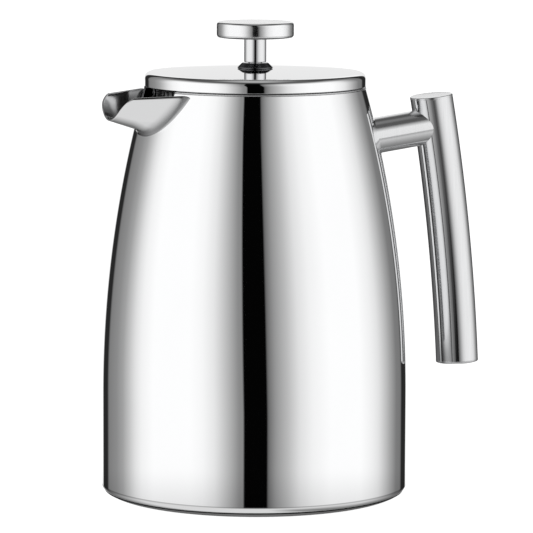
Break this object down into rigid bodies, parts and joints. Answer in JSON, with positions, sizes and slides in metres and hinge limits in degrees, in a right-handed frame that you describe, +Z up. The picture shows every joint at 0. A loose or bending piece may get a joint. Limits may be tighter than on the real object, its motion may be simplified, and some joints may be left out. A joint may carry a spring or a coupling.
{
  "type": "french press",
  "caption": "Double-walled polished steel french press with a pouring spout, a bent tube handle, a domed lid and a plunger with a mesh filter and disc knob.",
  "frame": {"origin": "middle of the foot's flat ring, on the vessel's axis, at the height of the table", "axes": "+Z up along the vessel's axis, +X towards the handle, -X towards the spout, +Y completes a right-handed frame"},
  "size_m": [0.1843, 0.1378, 0.2134],
  "materials": {
    "polished_steel": "mirror-polished stainless steel",
    "satin_steel": "satin stainless steel",
    "base_steel": "spun satin stainless steel",
    "handle_steel": "polished stainless steel tube",
    "bush_steel": "blackened turned steel",
    "rod_steel": "polished stainless steel rod",
    "spring_steel": "coiled spring wire",
    "mesh_steel": "fine woven wire mesh"
  },
  "bodies": {
    "carafe": {"outer_shell": "polished_steel", "inner_vessel": "satin_steel", "base_plate": "base_steel", "spout": "polished_steel", "handle_arm": "handle_steel", "handle_grip": "handle_steel", "grip_top_cap": "handle_steel", "grip_bottom_cap": "handle_steel"},
    "lid_carrier": {"lid_bush": "bush_steel", "bush_nut": "bush_steel"},
    "lid": {"lid_cover": "polished_steel", "lid_pan": "satin_steel"},
    "plunger": {"knob": "polished_steel", "knob_sleeve": "polished_steel", "plunger_rod": "rod_steel", "rod_nut": "rod_steel", "perforated_plate": "satin_steel", "edge_spring": "spring_steel", "mesh_screen": "mesh_steel", "cross_plate": "satin_steel", "filter_hub": "rod_steel"}
  },
  "joints": [
    {"name": "lid_lift", "type": "slide", "parent": "carafe", "child": "lid_carrier", "axis": [0, 0, 1], "range_m": [0, 0.2]},
    {"name": "lid_turn", "type": "hinge", "parent": "lid_carrier", "child": "lid", "pos_m": [0, 0, 0.1849], "axis": [0, 0, 1], "continuous": true},
    {"name": "plunger_slide", "type": "slide", "parent": "lid_carrier", "child": "plunger", "axis": [0, 0, 1], "range_m": [0, 0.13]}
  ]
}
